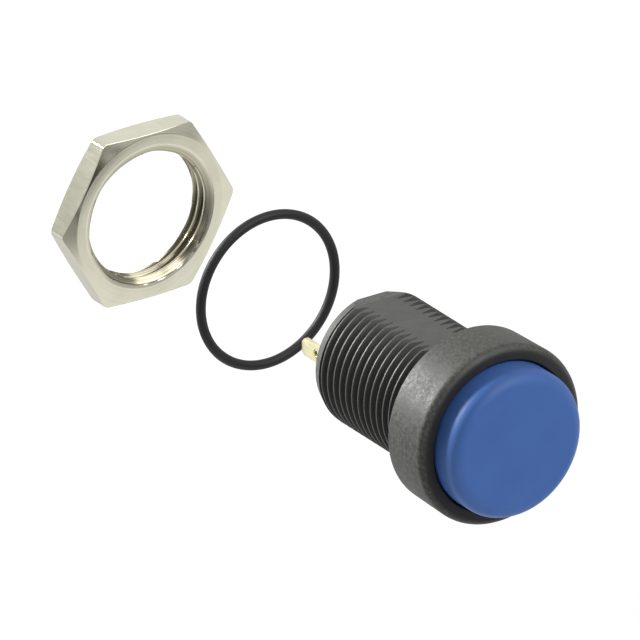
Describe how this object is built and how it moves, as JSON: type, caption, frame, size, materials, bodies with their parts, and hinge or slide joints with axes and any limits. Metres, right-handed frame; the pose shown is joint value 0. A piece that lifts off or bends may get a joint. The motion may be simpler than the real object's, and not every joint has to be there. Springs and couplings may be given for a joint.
{
  "type": "pushbutton switch",
  "caption": "Round panel pushbutton switch with a blue button, a black bezel and threaded bushing, flat terminals, and its sealing ring and hexagonal nut set out behind it.",
  "frame": {"origin": "on the switch's axis, in the bezel's underside, which is the face that meets the panel", "axes": "+Y runs back along the axis, from the button to the terminals; +Z is the side of the bushing's flat; the terminals stand either side of the axis along X"},
  "size_m": [0.0196, 0.0639, 0.018],
  "materials": {
    "black_moulding": "black glass-filled moulding, satin",
    "blue_cap": "medium blue moulding, fine satin",
    "natural_moulding": "natural white bearing plastic",
    "black_rubber": "matte black rubber",
    "spring_steel": "bright stainless spring steel",
    "contact_silver": "silver contact alloy",
    "gold_plate": "thin gold plate on brass",
    "base_moulding": "black moulding",
    "black_potting": "black potting, smooth",
    "nickel_plate": "nickel plate on turned brass, fine tool lines"
  },
  "bodies": {
    "housing": {"housing": "black_moulding", "terminal_base": "base_moulding", "base_seal": "black_potting", "terminal_left": "gold_plate", "terminal_right": "gold_plate", "fixed_contact_left": "contact_silver", "fixed_contact_right": "contact_silver", "return_spring": "spring_steel"},
    "button": {"button_cap": "blue_cap", "plunger": "natural_moulding", "plunger_seal": "black_rubber", "retaining_ring": "spring_steel", "spring_washer": "spring_steel", "contact_spring": "spring_steel", "bridge_clip": "spring_steel"},
    "bridge": {"contact_bridge": "gold_plate", "moving_contact_left": "contact_silver", "moving_contact_right": "contact_silver"},
    "gasket": {"panel_gasket": "black_rubber"},
    "nut": {"panel_nut": "nickel_plate"}
  },
  "joints": [
    {"name": "button_press", "type": "slide", "parent": "housing", "child": "button", "axis": [0, 1, 0], "range_m": [0, 0.0016], "stiffness_N_per_m": 1500, "springref_m": -0.0016, "deforming": ["return_spring", "contact_spring"]},
    {"name": "bridge_travel", "type": "slide", "parent": "housing", "child": "bridge", "axis": [0, 1, 0], "range_m": [0, 0.001]},
    {"name": "nut_travel", "type": "slide", "parent": "housing", "child": "nut", "axis": [0, -1, 0], "range_m": [0, 0.051]},
    {"name": "gasket_travel", "type": "slide", "parent": "housing", "child": "gasket", "axis": [0, -1, 0], "range_m": [0, 0.03213]}
  ],
  "couplings": [
    {"joint": "bridge_travel", "follows": "button_press", "ratio": 0.625},
    {"joint": "gasket_travel", "follows": "nut_travel", "ratio": 0.63}
  ]
}
